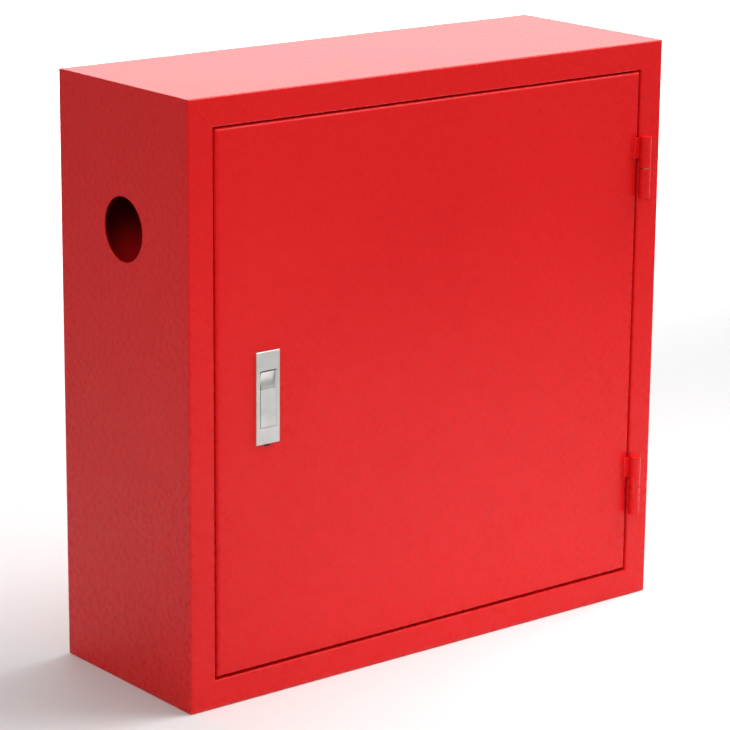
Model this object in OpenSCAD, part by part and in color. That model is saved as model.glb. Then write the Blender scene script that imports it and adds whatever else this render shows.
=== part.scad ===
// Wall-mounted fire hose cabinet: a folded sheet-steel box with a mitred front frame, a flush
// door on two weld-on lift-off hinges, and a flush push-button paddle latch.
// Millimetres. Origin at the centre of the underside, +X right, -Y front, +Z up.

/* [Cabinet] */
// Overall width of the box
body_w = 750; // [600:10:900]
// Overall height of the box
body_h = 750; // [700:10:900]
// Depth of the box, front frame to back face
body_d = 268; // [220:2:320]
// Sheet thickness of the box and the door
sheet_t = 1.5; // [1.2:0.1:2]
// Face width of the front frame
frame_w = 36; // [30:1:45]
// Outside radius of the folds of the box
fold_r = 2.5; // [2.2:0.1:3.5]
// How far the door stop reaches into the opening
stop_w = 16; // [14:1:20]

/* [Door] */
// Depth of the folded door pan
door_d = 18; // [16:1:20]
// Outside radius of the folds of the door
door_fold_r = 4.5; // [3:0.1:5]
// Width of the return flange round the back of the door
door_return_w = 32; // [30:1:40]
// Gap on the latch side
gap_latch = 3.5; // [3:0.1:4.5]
// Gap on the hinge side
gap_hinge = 2.5; // [2:0.1:3]
// Gap above the door
gap_top = 1.8; // [1.5:0.1:4]
// Gap below the door
gap_bottom = 3; // [2:0.1:4]
// Thickness of the rubber buffers that the door closes against
buffer_t = 2; // [1.5:0.1:2.5]

/* [Hinges] */
// Diameter of the hinge barrels
barrel_d = 15; // [14:0.5:16]
// Height of one hinge, both knuckles together
barrel_h = 80; // [70:5:90]
// Diameter of the hinge pins
hinge_pin_d = 8; // [7:0.5:9]
// Height of the middle of the upper hinge
upper_hinge_z = 587; // [560:1:600]
// Height of the middle of the lower hinge
lower_hinge_z = 156; // [140:1:200]
// Thickness of the leaf that joins a door knuckle to the door
leaf_t = 3; // [2.5:0.5:4]
// Height of that leaf
leaf_h = 27; // [24:1:34]

/* [Pipe hole] */
// Diameter of the hole for the supply pipe in the left side
pipe_hole_d = 80; // [60:1:110]
// Height of that hole
pipe_hole_z = 575; // [450:1:600]

/* [Wall fixing] */
// Spacing of the wall fixing holes, across and up
fixing_spacing = 600; // [400:10:600]
// Diameter of the wall fixing holes
fixing_d = 10; // [8:0.5:12]

/* [Latch] */
// Width of the latch face plate
latch_plate_w = 35; // [34:1:40]
// Height of the latch face plate
latch_plate_h = 115; // [110:1:130]
// How far the face plate stands out of the door
latch_plate_t = 2.5; // [2:0.1:3]
// Sideways place of the latch, from the middle of the cabinet
latch_x = -262; // [-265:1:-250]
// Height of the middle of the latch
latch_z = 379; // [330:1:420]
// Angle that the paddle opens
paddle_swing = 32; // [30:1:34]
// Distance that the push button travels
button_travel = 3; // [2:0.5:3.5]

/* [Hidden] */
$fn = 48;
front_y = -body_d / 2;
half_w = body_w / 2;
opening_x = half_w - frame_w;
opening_top = body_h - frame_w;
stop_y = front_y + door_d + buffer_t;
mitre_reach = frame_w + stop_w + 20;

door_left = -opening_x + gap_latch;
door_right = opening_x - gap_hinge;
door_bottom = frame_w + gap_bottom;
door_top = opening_top - gap_top;
door_back_y = front_y + door_d;

back_return = 15;
corner_relief = 4;

// Hinges: the barrels stand just clear of the frame, and a weld pad joins the fixed knuckle to it
barrel_clear = 0.4;
knuckle_gap = 1.1;
knuckle_h = (barrel_h - knuckle_gap) / 2 - 1.5;
door_knuckle_h = barrel_h - knuckle_gap - knuckle_h;
hinge_x = opening_x + barrel_d / 2 - 4;
hinge_y = front_y - barrel_d / 2 - barrel_clear;
pin_fit = 0.05;
pin_seat = 0.02;
pin_reach = 30;
pin_cap = 1.5;
washer_t = 1;
leaf_x = door_right - 10;

// Latch: every distance below is from the middle of the face plate
plate_front_y = front_y - latch_plate_t;
case_w = 28;
case_h = 100;
case_mid_z = -5;
boss_h = 6.4;
case_wall = 2;
case_back_y = front_y + 29;
cover_t = 1.5;
cover_half_h = case_h / 2 - boss_h - 0.5;
cover_screw_x = (case_w - case_wall) / 2;
cover_screw_z = cover_half_h - 3;
cover_screw_r = 0.58;
clamp_screw_r = 1.48;
window_w = 24;
window_gap = 0.5;
paddle_left = -window_w / 2 + 0.8;
paddle_right = window_w / 2 - 0.3;
paddle_mid = (paddle_left + paddle_right) / 2;
paddle_w = paddle_right - paddle_left;
button_left = paddle_left + 0.9;
window_top = 34;
button_top = window_top - 1.5;
button_bottom = 12;
pivot_z = -35;
pivot_y = front_y + 0.2;
nose_r = pivot_y - plate_front_y;
cutout_clear = 0.5;
notch_w = 9;
notch_drop = 3;
pivot_pin_r = 1.2;
button_mid_z = (button_bottom + window_top) / 2;

// The paddle's arm swings evenly to both sides of level, and its ball draws the bolt sideways
arm_r = 25;
arm_w = 5;
arm_h = 2.7;
arm_drop = paddle_swing / 2;
ball_r = 3;
slot_play = 0.2;
bolt_throw = 2 * arm_r * sin(arm_drop);
ball_rest_z = pivot_z - arm_r * sin(arm_drop);
bolt_t = 3;
strike_t = 1.5;
bolt_y = stop_y + sheet_t + strike_t + 0.3;
bolt_h = 26;
tongue_h = 16;
bolt_mid_z = pivot_z;
bolt_grip = 10;
bolt_tip_x = -opening_x + stop_w - bolt_grip;
bolt_tail_x = 8;
bolt_play = 0.3;

stem_r = 2.4;
button_back_y = plate_front_y + 8;
bridge_y = front_y + 14;
bridge_t = 2;
spring_wire_r = 0.35;
spring_r = 1.75;
spring_x = 4.5;
spring_len = 4;

stiffener_x = 60;
stiffener_w = 60;

rivet_r = 1.68;
rivet_hole_r = 1.7;
strike_rivet_reach = 19;
guide_w = 14;
guide_foot = 12;
guide_x = -opening_x + stop_w + 1.5;

// ---- shared shapes ----

// A quarter of a bent sheet, from +X round to +Y about the origin
module bend(outer_r) {
  intersection() {
    difference() {
      circle(r = outer_r);
      circle(r = outer_r - sheet_t);
    }
    square(outer_r + 1);
  }
}

// A rectangle with four round corners, from [0, 0] to [w, h]
module round_rect(w, h, r) {
  translate([r, 0]) square([w - 2 * r, h]);
  translate([0, r]) square([w, h - 2 * r]);
  for (x = [r, w - r], y = [r, h - r]) {
    translate([x, y]) circle(r = r);
  }
}

// Section of one side of the box: web, front frame, lip along the opening, and door stop.
// X runs in from the outer face, and Y runs back from the front face.
module side_section() {
  inner_r = fold_r - sheet_t;
  stop_back = stop_y - front_y + sheet_t;
  translate([0, fold_r]) square([sheet_t, body_d - fold_r]);
  translate([fold_r, fold_r]) rotate(180) bend(fold_r);
  translate([fold_r, 0]) square([frame_w - 2 * fold_r, sheet_t]);
  translate([frame_w - fold_r, fold_r]) rotate(270) bend(fold_r);
  translate([frame_w - sheet_t, fold_r]) square([sheet_t, stop_back - 2 * fold_r]);
  translate([frame_w + inner_r, stop_back - fold_r]) rotate(90) bend(fold_r);
  translate([frame_w + inner_r, stop_back - sheet_t]) square([stop_w - inner_r, sheet_t]);
}

// One folded side of the box, with mitred ends, standing along Z about the origin
module folded_side(len) {
  half = len / 2;
  intersection() {
    translate([0, 0, -half]) linear_extrude(len) side_section();
    rotate([90, 0, 0]) translate([0, 0, -body_d - 1]) linear_extrude(body_d + 2)
      polygon([[0, -half], [mitre_reach, mitre_reach - half],
               [mitre_reach, half - mitre_reach], [0, half]]);
  }
}

// A cylinder along Y that starts at y and runs back by len
module along_y(x, y, z, r, len) {
  translate([x, y, z]) rotate([-90, 0, 0]) cylinder(r = r, h = len);
}

// A cylinder along X, centred at x
module along_x(x, y, z, r, len) {
  translate([x, y, z]) rotate([0, 90, 0]) cylinder(r = r, h = len, center = true);
}

// A box from one corner to the opposite one
module block(low, high) {
  translate(low) cube(high - low);
}

// A dome-headed rivet or screw along Y: head_y is where the head sits, and the shank runs on
// to shank_y; the head stands on the side away from the shank
module fastener(x, z, head_y, shank_y, head_r, shank_r, head_h) {
  side = shank_y > head_y ? -1 : 1;
  along_y(x, min(head_y, shank_y), z, shank_r, abs(shank_y - head_y));
  translate([x, head_y, z]) rotate([-90 * side, 0, 0]) intersection() {
    cylinder(r = head_r, h = head_h);
    translate([0, 0, head_h - head_r * 1.6]) sphere(r = head_r * 1.6);
  }
}

// Faces of a closed tube made of rings with the same number of points
function tube_faces(count, sides) = concat(
  [[for (k = [0 : sides - 1]) k]],
  [for (i = [0 : count - 2], k = [0 : sides - 1])
    let (n = (k + 1) % sides)
    [i * sides + k, (i + 1) * sides + k, (i + 1) * sides + n, i * sides + n]],
  [[for (k = [sides - 1 : -1 : 0]) (count - 1) * sides + k]]);

// A wire swept along a path that winds about the X axis
module wire(path, wire_r) {
  sides = 8;
  last = len(path) - 1;
  points = [for (i = [0 : last], k = [0 : sides - 1])
    let (
      run = path[min(i + 1, last)] - path[max(i - 1, 0)],
      side = cross(run, [1, 0, 0]),
      a = 360 * k / sides
    )
    path[i] + wire_r * (cos(a) * [1, 0, 0] + sin(a) * side / norm(side))];
  polyhedron(points, tube_faces(last + 1, sides), convexity = 10);
}

// Points of a coil about the X axis: x from x0 to x1 as the angle goes from a0 to a1
function coil_points(x0, x1, a0, a1, r) =
  let (steps = ceil(abs(a1 - a0) / 24))
  [for (i = [0 : steps])
    let (a = a0 + (a1 - a0) * i / steps)
    [x0 + (x1 - x0) * i / steps, r * cos(a), r * sin(a)]];

// ---- the box ----

module left_side_panel() {
  z = latch_z + bolt_mid_z;
  color("firebrick") difference() {
    translate([-half_w, front_y, body_h / 2]) folded_side(body_h);
    along_x(-half_w, 0, pipe_hole_z, pipe_hole_d / 2, 20);
    for (s = [-1, 1]) {
      along_y(-opening_x + stop_w / 2, stop_y - 1, z + s * strike_rivet_reach, rivet_hole_r, 4);
    }
  }
}

module right_side_panel() {
  color("firebrick") translate([half_w, front_y, body_h / 2]) mirror([1, 0, 0]) folded_side(body_h);
}

module top_panel() {
  color("firebrick") translate([0, front_y, body_h]) rotate([0, 90, 0]) folded_side(body_w);
}

module bottom_panel() {
  color("firebrick") translate([0, front_y, 0]) rotate([0, -90, 0]) folded_side(body_w);
}

// A shallow pan, open to the front, whose flanges are spot-welded inside the four sides
module back_panel() {
  inner = half_w - sheet_t;
  reach = fixing_spacing / 2;
  color("firebrick") difference() {
    block([-inner, body_d / 2 - back_return, sheet_t], [inner, body_d / 2, body_h - sheet_t]);
    block([-inner + sheet_t, body_d / 2 - back_return - 1, 2 * sheet_t],
          [inner - sheet_t, body_d / 2 - sheet_t, body_h - 2 * sheet_t]);
    for (x = [-1, 1], z = [sheet_t, body_h - sheet_t]) {
      translate([x * inner, body_d / 2 - sheet_t - back_return / 2 - 0.5, z])
        cube([2 * corner_relief, back_return + 1, 2 * corner_relief], center = true);
    }
    for (x = [-1, 1], z = [-1, 1]) {
      along_y(x * reach, body_d / 2 - 5, body_h / 2 + z * reach, fixing_d / 2, 10);
    }
  }
}

// Four rubber discs on the door stop
module door_buffers() {
  buffer_r = 5;
  inset = stop_w - buffer_r - 1;
  color("dimgray") for (x = [-1, 1], z = [frame_w + inset + 60, opening_top - inset - 60]) {
    along_y(x * (opening_x - inset), stop_y - buffer_t, z, buffer_r, buffer_t);
  }
}

// The keeper that the bolt slides behind, bent in at its ends and riveted to the door stop
module strike_plate() {
  strike_h = 50;
  z = latch_z + bolt_mid_z;
  y = stop_y + sheet_t;
  color("silver") difference() {
    block([-opening_x + 1, y, z - strike_h / 2], [-opening_x + stop_w, y + strike_t, z + strike_h / 2]);
    for (s = [-1, 1]) {
      along_y(-opening_x + stop_w / 2, y - 1, z + s * strike_rivet_reach, rivet_hole_r, strike_t + 2);
    }
  }
}

module strike_rivets() {
  z = latch_z + bolt_mid_z;
  y = stop_y + sheet_t + strike_t;
  color("gray") for (s = [-1, 1]) {
    fastener(-opening_x + stop_w / 2, z + s * strike_rivet_reach, y, stop_y, 3, rivet_r, 1.2);
  }
}

// ---- hinges ----

// The lower half of a hinge, welded to the frame, bored for the pin
module frame_knuckle(z) {
  top = z - knuckle_gap / 2;
  color("firebrick") difference() {
    union() {
      translate([hinge_x, hinge_y, top - knuckle_h]) cylinder(d = barrel_d, h = knuckle_h);
      block([hinge_x - 0.5, hinge_y, top - knuckle_h], [hinge_x + 4.5, front_y, top]);
    }
    translate([hinge_x, hinge_y, top - pin_reach])
      cylinder(d = hinge_pin_d + 2 * pin_seat, h = pin_reach + 1);
  }
}

// The upper half of a hinge, with the leaf that is welded to the door face
module door_knuckle(z) {
  bottom = z + knuckle_gap / 2;
  leaf_top = bottom + door_knuckle_h - 2;
  color("firebrick") difference() {
    union() {
      translate([hinge_x, hinge_y, bottom]) cylinder(d = barrel_d, h = door_knuckle_h);
      block([leaf_x, front_y - barrel_clear - leaf_t, leaf_top - leaf_h],
            [hinge_x, front_y - barrel_clear, leaf_top]);
      block([leaf_x, front_y - barrel_clear - 1, leaf_top - leaf_h],
            [door_right - 1, front_y, leaf_top]);
    }
    translate([hinge_x, hinge_y, bottom - 1])
      cylinder(d = hinge_pin_d + 2 * pin_fit, h = pin_reach + 1.5);
  }
}

// A steel pin, pressed into the lower knuckle and standing up into the door's knuckle
module hinge_pin(z) {
  low = z - knuckle_gap / 2 - pin_reach + 0.2;
  high = z + knuckle_gap / 2 + pin_reach - 1;
  straight = high - low - pin_cap;
  color("silver") translate([hinge_x, hinge_y, low]) {
    cylinder(d = hinge_pin_d, h = straight);
    translate([0, 0, straight]) cylinder(d1 = hinge_pin_d, d2 = hinge_pin_d - 2, h = pin_cap);
  }
}

module hinge_washer(z) {
  color("goldenrod") translate([hinge_x, hinge_y, z - knuckle_gap / 2]) difference() {
    cylinder(d = barrel_d - 3, h = washer_t);
    translate([0, 0, -1]) cylinder(d = hinge_pin_d + 0.2, h = washer_t + 2);
  }
}

// ---- the door ----

// The space inside a box with every edge along X and along Z rounded
module pan_solid(x0, x1, y0, y1, z0, z1, r) {
  intersection() {
    translate([x0, y0, z0 - 1]) linear_extrude(z1 - z0 + 2) round_rect(x1 - x0, y1 - y0, r);
    translate([x0 - 1, y0, z0]) rotate([90, 0, 90]) linear_extrude(x1 - x0 + 2)
      round_rect(y1 - y0, z1 - z0, r);
  }
}

module door_panel() {
  t = sheet_t;
  guide_z = latch_z + bolt_mid_z;
  color("red") difference() {
    pan_solid(door_left, door_right, front_y, door_back_y, door_bottom, door_top, door_fold_r);
    pan_solid(door_left + t, door_right - t, front_y + t, door_back_y - t,
              door_bottom + t, door_top - t, door_fold_r - t);
    block([door_left + door_return_w, door_back_y - 2 * t, door_bottom + door_return_w],
          [door_right - door_return_w, door_back_y + 1, door_top - door_return_w]);
    translate([latch_x, 0, latch_z]) {
      block([-case_w / 2 - cutout_clear, front_y - 1, case_mid_z - case_h / 2 - cutout_clear],
            [case_w / 2 + cutout_clear, front_y + 2 * t, case_mid_z + case_h / 2 + cutout_clear]);
      block([-notch_w / 2, front_y - 1, -latch_plate_h / 2 - notch_drop],
            [notch_w / 2, front_y + 2 * t, 0]);
    }
    for (s = [-1, 1]) {
      along_y(guide_x + guide_w / 2, door_back_y - 3, guide_z + s * guide_rivet_z(), rivet_hole_r, 4);
    }
  }
}

// A hat section welded up the inside of the door
module door_stiffener() {
  t = sheet_t;
  x = stiffener_x;
  w = stiffener_w;
  foot = 14;
  front = front_y + t;
  back = door_back_y - t;
  low = door_bottom + door_fold_r + 0.5;
  high = door_top - door_fold_r - 0.5;
  color("firebrick") {
    block([x - w / 2, front, low], [x - w / 2 + foot, front + t, high]);
    block([x + w / 2 - foot, front, low], [x + w / 2, front + t, high]);
    block([x - w / 2 + foot - t, front, low], [x - w / 2 + foot, back, high]);
    block([x + w / 2 - foot, front, low], [x + w / 2 - foot + t, back, high]);
    block([x - w / 2 + foot - t, back - t, low], [x + w / 2 - foot + t, back, high]);
  }
}

// ---- the latch ----

// The die-cast face plate and the open-backed case behind it
module latch_case() {
  half_w = case_w / 2;
  low = case_mid_z - case_h / 2;
  high = case_mid_z + case_h / 2;
  slot_half = bolt_h / 2 + bolt_play;
  color("lightgray") translate([latch_x, 0, latch_z]) difference() {
    union() {
      block([-latch_plate_w / 2, plate_front_y, -latch_plate_h / 2],
            [latch_plate_w / 2, front_y, latch_plate_h / 2]);
      difference() {
        block([-half_w, plate_front_y + 1, low], [half_w, case_back_y, high]);
        block([-window_w / 2, front_y, low + case_wall],
              [window_w / 2, case_back_y + 1, high - boss_h]);
      }
      block([-half_w, bridge_y, button_bottom - 2], [half_w, bridge_y + bridge_t, high - 1]);
      // Bosses at the back for the clamp screws
      for (z = [low, high - boss_h]) {
        block([-half_w, case_back_y - 12, z], [half_w, case_back_y, z + boss_h]);
      }
      // Ledge that one leg of the paddle's spring bears on
      block([window_w / 2 - 4, front_y + 7, pivot_z - spring_r + spring_wire_r + 0.05],
            [half_w, front_y + 10, pivot_z + spring_r]);
    }
    block([-window_w / 2, plate_front_y - 1, pivot_z], [window_w / 2, front_y + 1, window_top]);
    along_x(0, pivot_y, pivot_z, nose_r + window_gap, window_w);
    along_x(0, pivot_y, pivot_z, pivot_pin_r + pin_seat, case_w + 4);
    block([-half_w - 1, bolt_y - bolt_play, bolt_mid_z - slot_half],
          [half_w + 1, bolt_y + bolt_t + bolt_play, bolt_mid_z + slot_half]);
    along_y(0, bridge_y - 1, button_mid_z, stem_r + 0.1, bridge_t + 2);
    for (z = [low + boss_h / 2, high - boss_h / 2]) {
      along_y(0, case_back_y - 8, z, clamp_screw_r + pin_seat, 9);
    }
  }
}

// The plate that closes the back of the case, between the two clamps
module latch_cover() {
  color("silver") translate([latch_x, 0, latch_z + case_mid_z]) difference() {
    block([-case_w / 2, case_back_y, -cover_half_h], [case_w / 2, case_back_y + cover_t, cover_half_h]);
    for (x = [-1, 1], z = [-1, 1]) {
      along_y(x * cover_screw_x, case_back_y - 1, z * cover_screw_z, cover_screw_r + pin_seat, cover_t + 2);
    }
  }
}

module latch_cover_screws() {
  mid_z = latch_z + case_mid_z;
  y = case_back_y + cover_t;
  color("gray") for (x = [-1, 1], z = [-1, 1]) {
    fastener(latch_x + x * cover_screw_x, mid_z + z * cover_screw_z, y, case_back_y,
             1.6, cover_screw_r, 0.8);
  }
}

// A rubber plug that fills the notch below the case and shows under the face plate
module latch_plug() {
  low = -latch_plate_h / 2 - notch_drop + 0.3;
  high = case_mid_z - case_h / 2 - 0.6;
  color("dimgray") translate([latch_x, 0, latch_z]) {
    block([-notch_w / 2 + 0.2, front_y, low], [notch_w / 2 - 0.2, front_y + sheet_t + 1, high]);
    block([-notch_w / 2 + 0.6, front_y - 1, low], [notch_w / 2 - 0.6, front_y + 1, -latch_plate_h / 2 - 0.1]);
    block([-notch_w / 2 - 1.7, front_y + sheet_t, low - 1], [notch_w / 2 + 1.7, front_y + sheet_t + 1, high]);
  }
}

// Two angle brackets that pull the case back against the door sheet
module latch_clamps() {
  reach = latch_plate_h / 2 + 6;
  front = front_y + sheet_t;
  back = case_back_y + cover_t;
  color("silver") translate([latch_x, 0, latch_z]) for (s = [-1, 1]) {
    inner = s * case_mid_z + case_h / 2 - boss_h;
    mirror([0, 0, s < 0 ? 1 : 0]) difference() {
      union() {
        block([-10, case_back_y, inner], [10, back, reach]);
        block([-10, front, reach - cover_t], [10, back, reach]);
        block([-10, front, reach - cover_t], [10, front + cover_t, reach + 8]);
      }
      along_y(0, case_back_y - 1, inner + boss_h / 2, clamp_screw_r + 0.2, cover_t + 2);
    }
  }
}

module latch_clamp_screws() {
  y = case_back_y + cover_t;
  color("gray") for (s = [-1, 1]) {
    z = case_mid_z + s * (case_h - boss_h) / 2;
    fastener(latch_x, latch_z + z, y, y - 8, 3, clamp_screw_r, 2);
  }
}

// Height of a rivet of the bolt guide above the middle of the bolt
function guide_rivet_z() = tongue_h / 2 + bolt_play + sheet_t + guide_foot / 2;

// A bridge on the back of the door that carries the tongue of the bolt
module bolt_guide() {
  z = latch_z + bolt_mid_z;
  half = tongue_h / 2 + bolt_play;
  wall = half + sheet_t;
  top_y = bolt_y + bolt_t + bolt_play;
  color("silver") translate([guide_x, 0, z]) difference() {
    union() {
      block([0, door_back_y, -wall], [guide_w, top_y + sheet_t, wall]);
      block([0, door_back_y, -wall - guide_foot], [guide_w, door_back_y + sheet_t, wall + guide_foot]);
    }
    block([-1, door_back_y - 1, -half], [guide_w + 1, top_y, half]);
    for (s = [-1, 1]) {
      along_y(guide_w / 2, door_back_y - 1, s * guide_rivet_z(), rivet_hole_r, sheet_t + 2);
    }
  }
}

module bolt_guide_rivets() {
  z = latch_z + bolt_mid_z;
  y = door_back_y + sheet_t;
  color("gray") for (s = [-1, 1]) {
    fastener(guide_x + guide_w / 2, z + s * guide_rivet_z(), y, y - 2 * sheet_t, 3, rivet_r, 1.2);
  }
}

// The flush paddle: a flat finger plate on a round nose, with an arm and a ball behind
module paddle() {
  coil_mid = spring_x + spring_len / 2;
  color("lightgray") translate([latch_x, 0, latch_z]) difference() {
    union() {
      block([paddle_left, plate_front_y, pivot_z], [paddle_right, pivot_y, button_bottom - window_gap]);
      along_x(paddle_mid, pivot_y, pivot_z, nose_r, paddle_w);
      translate([0, pivot_y, pivot_z]) rotate([-arm_drop, 0, 0]) {
        translate([-arm_w / 2, 0, -arm_h / 2]) cube([arm_w, arm_r - 1, arm_h]);
        translate([0, arm_r, 0]) sphere(r = ball_r);
      }
    }
    along_x(0, pivot_y, pivot_z, pivot_pin_r + pin_fit, window_w + 2);
    // Pocket for the spring's coil, open at the back for its legs
    along_x(coil_mid, pivot_y, pivot_z, spring_r + spring_wire_r + 0.15, spring_len + 1);
    block([coil_mid - spring_len / 2 - 0.6, pivot_y - 0.9, pivot_z - nose_r - 1],
          [coil_mid + spring_len / 2 + 0.6, pivot_y + nose_r + 1, pivot_z + nose_r]);
  }
}

module paddle_pin() {
  color("silver") along_x(latch_x, pivot_y, latch_z + pivot_z, pivot_pin_r, case_w - 0.2);
}

// A torsion spring on the paddle's pin: one leg lies over the arm, the other under the ledge
module paddle_spring() {
  leg = 10;
  knee = 3.6;
  along_arm = [0, cos(arm_drop), -sin(arm_drop)];
  coils = coil_points(spring_x, spring_x + spring_len, 90 - arm_drop, 270 + 3 * 360, spring_r);
  arm_end = coils[0] + leg * along_arm - [spring_x, 0, 0];
  ledge_end = coils[len(coils) - 1] + [0, leg, 0];
  color("dimgray") translate([latch_x, pivot_y, latch_z + pivot_z])
    wire(concat([arm_end, coils[0] + knee * along_arm], coils, [ledge_end]), spring_wire_r);
}

// The flat bolt, with a slanting slot for the paddle's ball and a narrower tongue
module latch_bolt() {
  tip_x = bolt_tip_x - latch_x;
  slot_r = ball_r + slot_play;
  shoulder_x = -case_w / 2 - 14;
  slot_run = bolt_throw * sqrt(2);
  slot_half = slot_r - 0.02;
  color("silver") translate([latch_x, 0, latch_z]) difference() {
    union() {
      block([shoulder_x, bolt_y, bolt_mid_z - bolt_h / 2],
            [bolt_tail_x, bolt_y + bolt_t, bolt_mid_z + bolt_h / 2]);
      block([tip_x, bolt_y, bolt_mid_z - tongue_h / 2],
            [shoulder_x + 1, bolt_y + bolt_t, bolt_mid_z + tongue_h / 2]);
    }
    along_y(0, bolt_y - 1, ball_rest_z, slot_r, bolt_t + 2);
    along_y(-bolt_throw, bolt_y - 1, ball_rest_z + bolt_throw, slot_r, bolt_t + 2);
    translate([0, bolt_y - 1, ball_rest_z]) rotate([0, 45, 0])
      translate([-slot_run, 0, -slot_half]) cube([slot_run, bolt_t + 2, 2 * slot_half]);
  }
}

// The push button, scooped for a finger, with its guide stem
module push_button() {
  scoop_r = 26;
  rim = 1.3;
  stem_end_y = bolt_y - bolt_play - button_travel;
  color("lightgray") translate([latch_x, 0, latch_z]) {
    difference() {
      block([button_left, plate_front_y, button_bottom], [paddle_right, button_back_y, button_top]);
      intersection() {
        along_x(0, plate_front_y - scoop_r + 2.2, button_mid_z - 0.6, scoop_r, window_w);
        block([button_left - 1, plate_front_y - 1, button_bottom],
              [paddle_right - rim, button_back_y, button_top]);
      }
    }
    along_y(0, button_back_y - 1, button_mid_z, stem_r, stem_end_y - button_back_y + 1);
  }
}

module button_spring() {
  coil_r = stem_r + 1.2;
  front = button_back_y + spring_wire_r + 0.1;
  back = bridge_y - spring_wire_r - 0.1;
  color("dimgray") translate([latch_x, 0, latch_z + button_mid_z]) rotate([0, 0, 90])
    wire(coil_points(front, back, 0, 4 * 360, coil_r), spring_wire_r);
}

// The clip on the stem that keeps the button in
module button_clip() {
  color("gray") translate([latch_x, bridge_y + bridge_t + 0.1, latch_z + button_mid_z])
  rotate([-90, 0, 0]) difference() {
    cylinder(r = stem_r + 1.8, h = 0.8);
    translate([0, 0, -1]) cylinder(r = stem_r + pin_seat, h = 3);
  }
}

left_side_panel();
right_side_panel();
top_panel();
bottom_panel();
back_panel();
door_buffers();
strike_plate();
strike_rivets();
frame_knuckle(upper_hinge_z);  // upper_hinge_frame_knuckle
frame_knuckle(lower_hinge_z);  // lower_hinge_frame_knuckle
hinge_pin(upper_hinge_z);  // upper_hinge_pin
hinge_pin(lower_hinge_z);  // lower_hinge_pin
hinge_washer(upper_hinge_z);  // upper_hinge_washer
hinge_washer(lower_hinge_z);  // lower_hinge_washer
door_panel();
door_stiffener();
door_knuckle(upper_hinge_z);  // upper_hinge_door_knuckle
door_knuckle(lower_hinge_z);  // lower_hinge_door_knuckle
latch_case();
latch_cover();
latch_cover_screws();
latch_plug();
latch_clamps();
latch_clamp_screws();
bolt_guide();
bolt_guide_rivets();
paddle();
paddle_pin();
paddle_spring();
latch_bolt();
push_button();
button_spring();
button_clip();
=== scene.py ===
import math
import random

import bmesh
import bpy
from mathutils import Matrix, Vector


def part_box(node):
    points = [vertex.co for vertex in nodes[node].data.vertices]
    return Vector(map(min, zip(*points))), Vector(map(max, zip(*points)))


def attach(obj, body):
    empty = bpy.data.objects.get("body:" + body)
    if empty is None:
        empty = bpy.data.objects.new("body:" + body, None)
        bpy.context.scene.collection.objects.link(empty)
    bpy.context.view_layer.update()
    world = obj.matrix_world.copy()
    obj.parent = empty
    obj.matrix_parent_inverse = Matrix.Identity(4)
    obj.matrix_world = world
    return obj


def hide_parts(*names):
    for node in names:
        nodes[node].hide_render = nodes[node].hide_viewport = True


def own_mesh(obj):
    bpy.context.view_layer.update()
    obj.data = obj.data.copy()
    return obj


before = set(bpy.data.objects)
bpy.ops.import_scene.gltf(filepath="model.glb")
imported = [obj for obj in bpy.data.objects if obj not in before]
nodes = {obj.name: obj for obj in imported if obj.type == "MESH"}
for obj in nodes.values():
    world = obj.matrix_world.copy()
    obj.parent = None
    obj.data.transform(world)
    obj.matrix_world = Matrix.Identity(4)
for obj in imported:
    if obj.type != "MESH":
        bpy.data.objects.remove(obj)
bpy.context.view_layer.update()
scene = bpy.context.scene
MM = 0.001

FRAME_WIDTH = 36 * MM
LEAF_HEIGHT = 27 * MM
# A vertex this near an end of its node's box, as a share of the box, lies on that end
AT_END = 0.002
# Edges sharper than this keep a crisp line in their shading; the bevels' own steps are gentler
CRISP_ANGLE = math.radians(34)


# ---- camera ----

def make_camera():
    data = bpy.data.cameras.new("camera")
    data.sensor_width = 36.0
    data.lens = 148.0
    data.shift_x = 0.028
    data.shift_y = -0.0016
    cam = bpy.data.objects.new("camera", data)
    turn = Matrix.Rotation(math.radians(-38.29), 4, "Z")
    tilt = Matrix.Rotation(math.radians(90.0 - 15.141), 4, "X")
    roll = Matrix.Rotation(math.radians(0.404), 4, "Z")
    cam.matrix_world = Matrix.Translation((-2.3266, -2.8983, 1.3543)) @ turn @ tilt @ roll
    scene.collection.objects.link(cam)
    scene.camera = cam


# ---- materials ----

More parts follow.
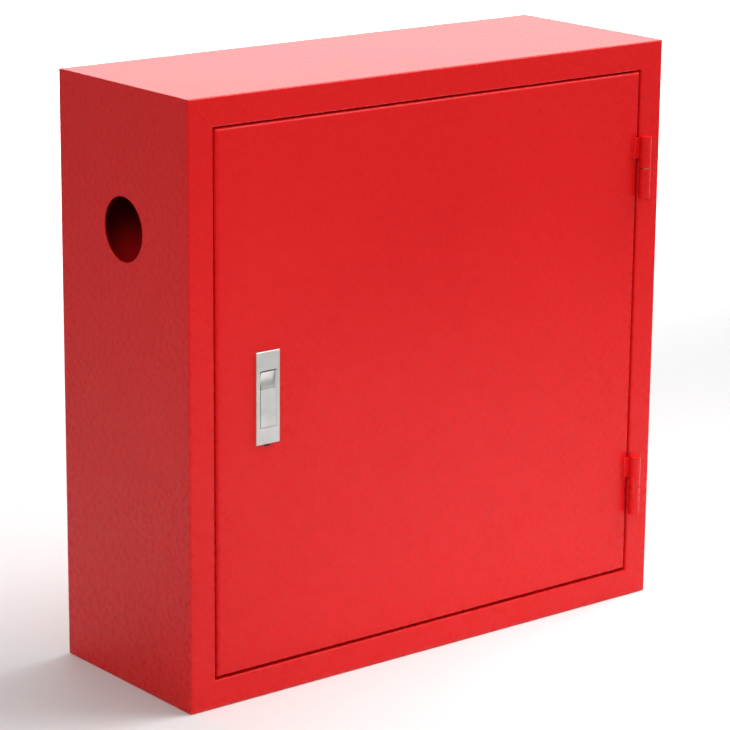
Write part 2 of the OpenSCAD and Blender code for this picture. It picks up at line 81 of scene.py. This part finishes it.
class Finish:
    """A node-based material with helpers that read top to bottom."""

    def __init__(self, name):
        self.mat = bpy.data.materials.new(name)
        self.mat.use_nodes = True
        self.tree = self.mat.node_tree
        self.shader = self.tree.nodes["Principled BSDF"]
        self.place = self.node("ShaderNodeTexCoord").outputs["Object"]

    def node(self, kind, **settings):
        made = self.tree.nodes.new(kind)
        for key, value in settings.items():
            setattr(made, key, value)
        return made

    def link(self, value, socket):
        if isinstance(value, bpy.types.NodeSocket):
            self.tree.links.new(value, socket)
        else:
            socket.default_value = value

    def set(self, **values):
        for key, value in values.items():
            self.shader.inputs[key.replace("_", " ")].default_value = value

    def stretched(self, scale):
        made = self.node("ShaderNodeMapping")
        self.link(self.place, made.inputs["Vector"])
        made.inputs["Scale"].default_value = scale
        return made.outputs["Vector"]

    def noise(self, scale, detail=2.0, place=None, rough=0.5):
        made = self.node("ShaderNodeTexNoise")
        self.link(place or self.place, made.inputs["Vector"])
        made.inputs["Scale"].default_value = scale
        made.inputs["Detail"].default_value = detail
        made.inputs["Roughness"].default_value = rough
        return made.outputs["Fac"]

    def cells(self, scale):
        made = self.node("ShaderNodeTexVoronoi")
        self.link(self.place, made.inputs["Vector"])
        made.inputs["Scale"].default_value = scale
        return made.outputs["Color"]

    def ramp(self, value, low, high, out_low=0.0, out_high=1.0, smooth=False):
        kind = "SMOOTHSTEP" if smooth else "LINEAR"
        made = self.node("ShaderNodeMapRange", interpolation_type=kind)
        self.link(value, made.inputs["Value"])
        made.inputs["From Min"].default_value = low
        made.inputs["From Max"].default_value = high
        made.inputs["To Min"].default_value = out_low
        made.inputs["To Max"].default_value = out_high
        return made.outputs["Result"]

    def times(self, a, b):
        made = self.node("ShaderNodeMath", operation="MULTIPLY")
        self.link(a, made.inputs[0])
        self.link(b, made.inputs[1])
        return made.outputs[0]

    def plus(self, a, b):
        made = self.node("ShaderNodeMath", operation="ADD")
        self.link(a, made.inputs[0])
        self.link(b, made.inputs[1])
        return made.outputs[0]

    def blend(self, share, a, b):
        made = self.node("ShaderNodeMix", data_type="RGBA")
        self.link(share, made.inputs[0])
        self.link(a, made.inputs[6])
        self.link(b, made.inputs[7])
        return made.outputs[2]

    def bump(self, height, distance, normal=None):
        made = self.node("ShaderNodeBump")
        made.inputs["Strength"].default_value = 1.0
        made.inputs["Distance"].default_value = distance
        self.link(height, made.inputs["Height"])
        if normal is not None:
            self.link(normal, made.inputs["Normal"])
        return made.outputs["Normal"]

    def axis(self, letter):
        made = self.node("ShaderNodeSeparateXYZ")
        self.link(self.place, made.inputs[0])
        return made.outputs[letter]

    def finish(self, colour, rough, normal):
        self.link(colour, self.shader.inputs["Base Color"])
        self.link(rough, self.shader.inputs["Roughness"])
        self.link(normal, self.shader.inputs["Normal"])
        return self.mat


def rgb(r, g, b):
    return (r, g, b, 1.0)


def red_powder_coat():
    f = Finish("red_powder_coat")
    cloud = f.noise(2.6, 3.0)
    fleck = f.noise(900.0, 1.0)
    colour = f.blend(f.ramp(cloud, 0.3, 0.7), rgb(0.640, 0.0062, 0.0072), rgb(0.690, 0.0078, 0.0085))
    colour = f.blend(f.times(f.ramp(fleck, 0.60, 0.78), 0.06), colour, rgb(0.78, 0.020, 0.018))
    # Painted reflection of the pale floor low down, within 6 mm of where the box stands: paler
    # patches, with the paint made rougher there too
    low = f.ramp(f.axis("Z"), 0.0008, 0.006, 1.0, 0.0, smooth=True)
    painted_floor_reflection = f.times(low, f.ramp(f.noise(150.0, 4.0, rough=0.7), 0.52, 0.66))
    # Blends in the painted floor reflection as a paler pink wherever the mask is on
    colour = f.blend(f.times(painted_floor_reflection, 0.55), colour, rgb(0.62, 0.10, 0.085))
    rough = f.plus(f.ramp(f.noise(130.0, 2.0), 0.3, 0.7, 0.27, 0.28), f.times(painted_floor_reflection, 0.25))
    sheet = f.bump(f.noise(4.5, 0.0), 0.0008)
    peel = f.bump(f.noise(430.0, 0.0), 0.0000015, sheet)
    f.set(Specular_IOR_Level=0.2)
    return f.finish(colour, rough, peel)


def satin_zinc():
    """Satin-plated die casting with a faint upright grain."""
    f = Finish("satin_zinc")
    grain = f.noise(1.0, 4.0, f.stretched((2600.0, 2600.0, 90.0)), 0.6)
    cloud = f.noise(55.0, 3.0)
    colour = f.blend(f.ramp(cloud, 0.3, 0.7), rgb(0.60, 0.60, 0.575), rgb(0.70, 0.70, 0.675))
    colour = f.blend(f.times(f.ramp(grain, 0.45, 0.75), 0.22), colour, rgb(0.48, 0.48, 0.455))
    rough = f.ramp(grain, 0.3, 0.7, 0.30, 0.44)
    f.set(Metallic=0.92, Specular_IOR_Level=0.5)
    return f.finish(colour, rough, f.bump(grain, 0.00002))


def zinc_plate():
    """Bright zinc plating with its soft spangle."""
    f = Finish("zinc_plate")
    spangle = f.cells(210.0)
    cloud = f.noise(30.0, 4.0)
    colour = f.blend(spangle, rgb(0.55, 0.58, 0.61), rgb(0.70, 0.72, 0.73))
    colour = f.blend(f.times(f.ramp(cloud, 0.5, 0.8), 0.35), colour, rgb(0.50, 0.50, 0.44))
    rough = f.ramp(f.noise(260.0, 3.0), 0.3, 0.7, 0.26, 0.42)
    f.set(Metallic=1.0)
    return f.finish(colour, rough, f.bump(f.noise(700.0, 2.0), 0.00002))


def turned_steel():
    """Plain steel with fine rings round the pin and a little oil staining."""
    f = Finish("turned_steel")
    rings = f.noise(1.0, 3.0, f.stretched((40.0, 40.0, 4200.0)), 0.6)
    stain = f.noise(85.0, 4.0, rough=0.7)
    colour = f.blend(f.ramp(stain, 0.45, 0.75), rgb(0.52, 0.52, 0.53), rgb(0.34, 0.32, 0.30))
    rough = f.plus(f.ramp(rings, 0.3, 0.7, 0.24, 0.36), f.ramp(stain, 0.5, 0.8, 0.0, 0.12))
    f.set(Metallic=1.0)
    return f.finish(colour, rough, f.bump(rings, 0.00002))


def spring_wire():
    """Oil-tempered wire, dark with a slight draw line."""
    f = Finish("spring_wire")
    draw = f.noise(1500.0, 2.0)
    colour = f.blend(f.ramp(draw, 0.35, 0.7), rgb(0.17, 0.17, 0.18), rgb(0.27, 0.26, 0.26))
    rough = f.ramp(draw, 0.3, 0.7, 0.28, 0.42)
    f.set(Metallic=1.0)
    return f.finish(colour, rough, f.bump(draw, 0.00001))


def lathe_brass():
    f = Finish("lathe_brass")
    rings = f.noise(1.0, 3.0, f.stretched((300.0, 300.0, 5000.0)), 0.6)
    tarnish = f.noise(320.0, 4.0, rough=0.7)
    colour = f.blend(f.ramp(tarnish, 0.4, 0.75), rgb(0.74, 0.53, 0.20), rgb(0.46, 0.30, 0.12))
    rough = f.ramp(tarnish, 0.3, 0.7, 0.24, 0.42)
    f.set(Metallic=1.0)
    return f.finish(colour, rough, f.bump(rings, 0.00002))


def black_rubber():
    f = Finish("black_rubber")
    bloom = f.noise(240.0, 4.0, rough=0.7)
    colour = f.blend(f.ramp(bloom, 0.45, 0.8), rgb(0.006, 0.006, 0.007), rgb(0.020, 0.019, 0.018))
    rough = f.ramp(bloom, 0.3, 0.7, 0.62, 0.80)
    f.set(Specular_IOR_Level=0.2)
    return f.finish(colour, rough, f.bump(f.noise(2200.0, 2.0), 0.00004))


def dress_nodes(finishes):
    for obj in nodes.values():
        for slot in obj.material_slots:
            slot.material = finishes[slot.name.split(".")[0]]


# ---- copies that stand for CAD nodes ----

def stand_in(name, node, body):
    """A new piece with a copy of a CAD node's mesh, which takes the node's place."""
    rigid = nodes[node]
    piece = bpy.data.objects.new(name, rigid.data.copy())
    piece.matrix_world = rigid.matrix_world
    scene.collection.objects.link(piece)
    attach(piece, body)
    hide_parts(node)
    return piece


def soften(node, body, width, exposed):
    """Replaces a node with a copy whose sharp edges are rounded where exposed(share) is true.

    share is the place of a vertex in the node's own box, 0 to 1 each way. The CAD object and its
    mesh stay as packed.
    """
    obj = stand_in(f"{node}_rounded", node, body)
    mesh = obj.data
    custom = mesh.attributes.get("custom_normal")
    if custom is not None:
        mesh.attributes.remove(custom)
    for face in mesh.polygons:
        face.use_smooth = True
    low = Vector([min(v.co[i] for v in mesh.vertices) for i in range(3)])
    high = Vector([max(v.co[i] for v in mesh.vertices) for i in range(3)])
    group = obj.vertex_groups.new(name="rounded")
    chosen = []
    for v in mesh.vertices:
        if exposed([(v.co[i] - low[i]) / (high[i] - low[i]) for i in range(3)]):
            chosen.append(v.index)
    group.add(chosen, 1.0, "REPLACE")
    weld = obj.modifiers.new("weld", "WELD")
    weld.merge_threshold = 0.00001
    flat = obj.modifiers.new("flat", "DECIMATE")
    flat.decimate_type = "DISSOLVE"
    flat.angle_limit = math.radians(0.5)
    bevel = obj.modifiers.new("edge", "BEVEL")
    bevel.width = width
    bevel.segments = 3
    bevel.limit_method = "VGROUP"
    bevel.vertex_group = group.name
    bevel.use_clamp_overlap = True
    crisp = obj.modifiers.new("crisp", "EDGE_SPLIT")
    crisp.split_angle = CRISP_ANGLE
    crisp.use_edge_sharp = False
    normals = obj.modifiers.new("normals", "WEIGHTED_NORMAL")
    normals.mode = "FACE_AREA"
    normals.weight = 50


def at_end(part):
    return part < AT_END or part > 1 - AT_END


def on_front_rim(share):
    return share[1] < AT_END and (at_end(share[0]) or at_end(share[2]))


def on_front(share):
    return share[1] < AT_END


def on_front_half_rim(share):
    return share[1] < 0.5 and (at_end(share[0]) or at_end(share[2]))


def on_top_or_bottom(share):
    return at_end(share[2])


def soften_nodes():
    soften("latch_case", "door", 1.1 * MM, on_front_rim)
    soften("paddle", "paddle", 0.4 * MM, on_front)
    soften("push_button", "button", 0.5 * MM, on_front_half_rim)
    for which in ("upper", "lower"):
        for side, body in (("door", "door"), ("frame", "cabinet")):
            node = f"{which}_hinge_{side}_knuckle"
            soften(node, body, 0.9 * MM, on_top_or_bottom)


def button_coil():
    """The coil behind the button: a copy of the button spring's mesh, with a mesh of its own, in the
    spring's place.
    """
    coil = stand_in("button_coil", "button_spring", "door")
    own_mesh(coil)


# ---- weld beads and seams ----

def bead(name, path, radii, facing, body, lump=0.0, seed=1, sides=10):
    """A low bead of weld along a path. radii gives its half width and its height, facing the
    direction it stands out in, and lump how much its ripples swell."""
    rng = random.Random(seed)
    half_w, height = radii
    facing = Vector(facing).normalized()
    bm = bmesh.new()
    rings = []
    count = len(path)
    for i, point in enumerate(path):
        point = Vector(point)
        run = (Vector(path[min(i + 1, count - 1)]) - Vector(path[max(i - 1, 0)])).normalized()
        side = run.cross(facing).normalized()
        up = side.cross(run).normalized()
        share = min(i, count - 1 - i) / 3.0
        end = math.sin(min(share, 1.0) * math.pi / 2) * 0.85 + 0.15
        swell = end * (1.0 + lump * (0.5 * math.sin(i * 1.9) + rng.uniform(-0.5, 0.5)))
        ring = []
        for k in range(sides):
            a = 2 * math.pi * k / sides
            out = math.sin(a) * height * swell
            if out < 0:
                out *= 0.6
            ring.append(bm.verts.new(point + side * math.cos(a) * half_w * swell + up * out))
        rings.append(ring)
    for a, b in zip(rings, rings[1:]):
        for k in range(sides):
            n = (k + 1) % sides
            bm.faces.new((a[k], a[n], b[n], b[k]))
    bm.faces.new(rings[0][::-1])
    bm.faces.new(rings[-1])
    bmesh.ops.recalc_face_normals(bm, faces=bm.faces)
    mesh = bpy.data.meshes.new(name)
    bm.to_mesh(mesh)
    bm.free()
    for face in mesh.polygons:
        face.use_smooth = True
    obj = bpy.data.objects.new(name, mesh)
    scene.collection.objects.link(obj)
    obj.data.materials.append(finishes["red_paint"])
    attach(obj, body)


def straight(a, b, step):
    a, b = Vector(a), Vector(b)
    count = max(4, int((b - a).length / step))
    return [a.lerp(b, i / count) for i in range(count + 1)]


def seam_welds():
    """The dressed welds of the mitred corners: across the front frame, and back along each edge."""
    low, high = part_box("left_side_panel")
    left, front, bottom, back, top = low.x, low.y, low.z, high.y, high.z
    right = -left
    outer, inner = 9 * MM, FRAME_WIDTH - 2.2 * MM
    sunk = 0.02 * MM
    inset = 0.35 * MM
    for sx, x in ((1, left), (-1, right)):
        for sz, z in ((1, bottom), (-1, top)):
            tag = ("left" if sx > 0 else "right") + "_" + ("bottom" if sz > 0 else "top")
            a = (x + sx * outer, front + sunk, z + sz * outer)
            b = (x + sx * inner, front + sunk, z + sz * inner)
            bead(f"mitre_weld_{tag}", straight(a, b, 1.6 * MM), (0.75 * MM, 0.45 * MM), (0, -1, 0),
                 "cabinet", 0.25, seed=3 + len(tag))
            a = (x + sx * inset, front + 2.6 * MM, z + sz * inset)
            b = (x + sx * inset, back - 0.5 * MM, z + sz * inset)
            bead(f"corner_weld_{tag}", straight(a, b, 6 * MM), (0.75 * MM, 0.28 * MM), (-sx, 0, -sz),
                 "cabinet", 0.12, seed=11 + len(tag))


def hinge_welds():
    """Fillet welds: down the leaf's left edge on the door, and both sides of the frame's pad."""
    door_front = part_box("door_panel")[0].y
    frame_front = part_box("left_side_panel")[0].y
    for which in ("upper", "lower"):
        low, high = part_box(f"{which}_hinge_door_knuckle")
        leaf_left = low.x
        leaf_top = high.z - 2 * MM
        leaf_low = leaf_top - LEAF_HEIGHT
        y = door_front - 0.1 * MM
        facing = (-1, -1, 0)
        a, b = (leaf_left, y, leaf_low + 1 * MM), (leaf_left, y, leaf_top - 1 * MM)
        bead(f"{which}_leaf_weld", straight(a, b, 1.1 * MM), (1.5 * MM, 1.1 * MM), facing,
             "door", 0.22, seed=21)
        low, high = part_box(f"{which}_hinge_frame_knuckle")
        mid = (low.x + high.x) / 2
        for side, name in ((-1, "left"), (1, "right")):
            x = mid + (-0.5 if side < 0 else 4.5) * MM
            a, b = (x, frame_front, low.z + 1 * MM), (x, frame_front, high.z - 1 * MM)
            bead(f"{which}_pad_weld_{name}", straight(a, b, 1.1 * MM), (0.9 * MM, 0.7 * MM),
                 (side, -1, 0), "cabinet", 0.2, seed=31 + side)


# ---- studio ----

def stage_floor():
    mesh = bpy.data.meshes.new("floor")
    size = 16.0
    corners = [(-size, -size, 0), (size, -size, 0), (size, size, 0), (-size, size, 0)]
    mesh.from_pydata(corners, [], [(0, 1, 2, 3)])
    floor = bpy.data.objects.new("floor", mesh)
    floor.location.z = -0.0004
    scene.collection.objects.link(floor)
    f = Finish("pale_floor")
    tone = f.noise(1.4, 3.0)
    colour = f.blend(tone, rgb(0.80, 0.80, 0.80), rgb(0.84, 0.84, 0.84))
    rough = f.ramp(tone, 0.3, 0.7, 0.62, 0.70)
    f.set(Specular_IOR_Level=0.25)
    mesh.materials.append(f.finish(colour, rough, f.bump(f.noise(300.0, 2.0), 0.00005)))


def area_light(name, place, aim, size, power, spread=180.0):
    data = bpy.data.lights.new(name, "AREA")
    data.shape = "RECTANGLE"
    data.size, data.size_y = size
    data.energy = power
    data.spread = math.radians(spread)
    lamp = bpy.data.objects.new(name, data)
    lamp.location = place
    lamp.rotation_euler = (Vector(aim) - Vector(place)).to_track_quat("-Z", "Y").to_euler()
    scene.collection.objects.link(lamp)


def studio_world():
    """A soft room: a bright sweep of wall behind and to the right, a ceiling, dimmer elsewhere."""
    world = bpy.data.worlds.new("studio")
    scene.world = world
    world.use_nodes = True
    tree = world.node_tree
    back = tree.nodes["Background"]
    way = tree.nodes.new("ShaderNodeTexCoord").outputs["Generated"]

    def toward(direction, dim, bright, level):
        dot = tree.nodes.new("ShaderNodeVectorMath")
        dot.operation = "DOT_PRODUCT"
        dot.inputs[1].default_value = direction
        tree.links.new(way, dot.inputs[0])
        fade = tree.nodes.new("ShaderNodeMapRange")
        fade.interpolation_type = "SMOOTHSTEP"
        tree.links.new(dot.outputs["Value"], fade.inputs["Value"])
        fade.inputs["From Min"].default_value = dim
        fade.inputs["From Max"].default_value = bright
        fade.inputs["To Max"].default_value = level
        return fade.outputs["Result"]

    def combine(kind, a, b):
        made = tree.nodes.new("ShaderNodeMath")
        made.operation = kind
        tree.links.new(a, made.inputs[0])
        if isinstance(b, float):
            made.inputs[1].default_value = b
        else:
            tree.links.new(b, made.inputs[1])
        return made.outputs[0]

    sweep = toward((0.627, 0.779, 0.0), 0.45, 0.85, 1.6)
    below_ceiling = toward((0.0, 0.0, -1.0), -0.75, -0.5, 1.0)
    wall = combine("MULTIPLY", sweep, below_ceiling)
    ceiling = toward((0.45, -0.35, 0.82), 0.45, 0.9, 0.6)
    room = combine("ADD", combine("ADD", wall, ceiling), 0.13)
    tree.links.new(room, back.inputs["Strength"])
    back.inputs["Color"].default_value = (1.0, 1.0, 1.0, 1.0)


def lights():
    area_light("key", (-3.0, -3.1, 2.7), (0.0, 0.0, 0.4), (1.8, 1.6), 5.7, 32.0)
    area_light("pool", (0.75, -0.75, 2.3), (0.75, -0.75, 0.0), (0.9, 0.9), 4.0, 60.0)
    area_light("ceiling", (1.5, -0.4, 2.8), (0.0, 0.0, 0.5), (2.6, 2.0), 14.0, 60.0)
    area_light("behind", (2.9, 4.3, 4.0), (2.9, 4.3, 0.0), (5.0, 5.0), 230.0, 60.0)


finishes = {
    "red_paint": red_powder_coat(),
    "latch_zinc": satin_zinc(),
    "zinc_plate": zinc_plate(),
    "steel": turned_steel(),
    "spring_steel": spring_wire(),
    "brass": lathe_brass(),
    "black_rubber": black_rubber(),
}

make_camera()
dress_nodes(finishes)
soften_nodes()
button_coil()
seam_welds()
hinge_welds()
stage_floor()
studio_world()
lights()
scene.view_settings.view_transform = "Standard"
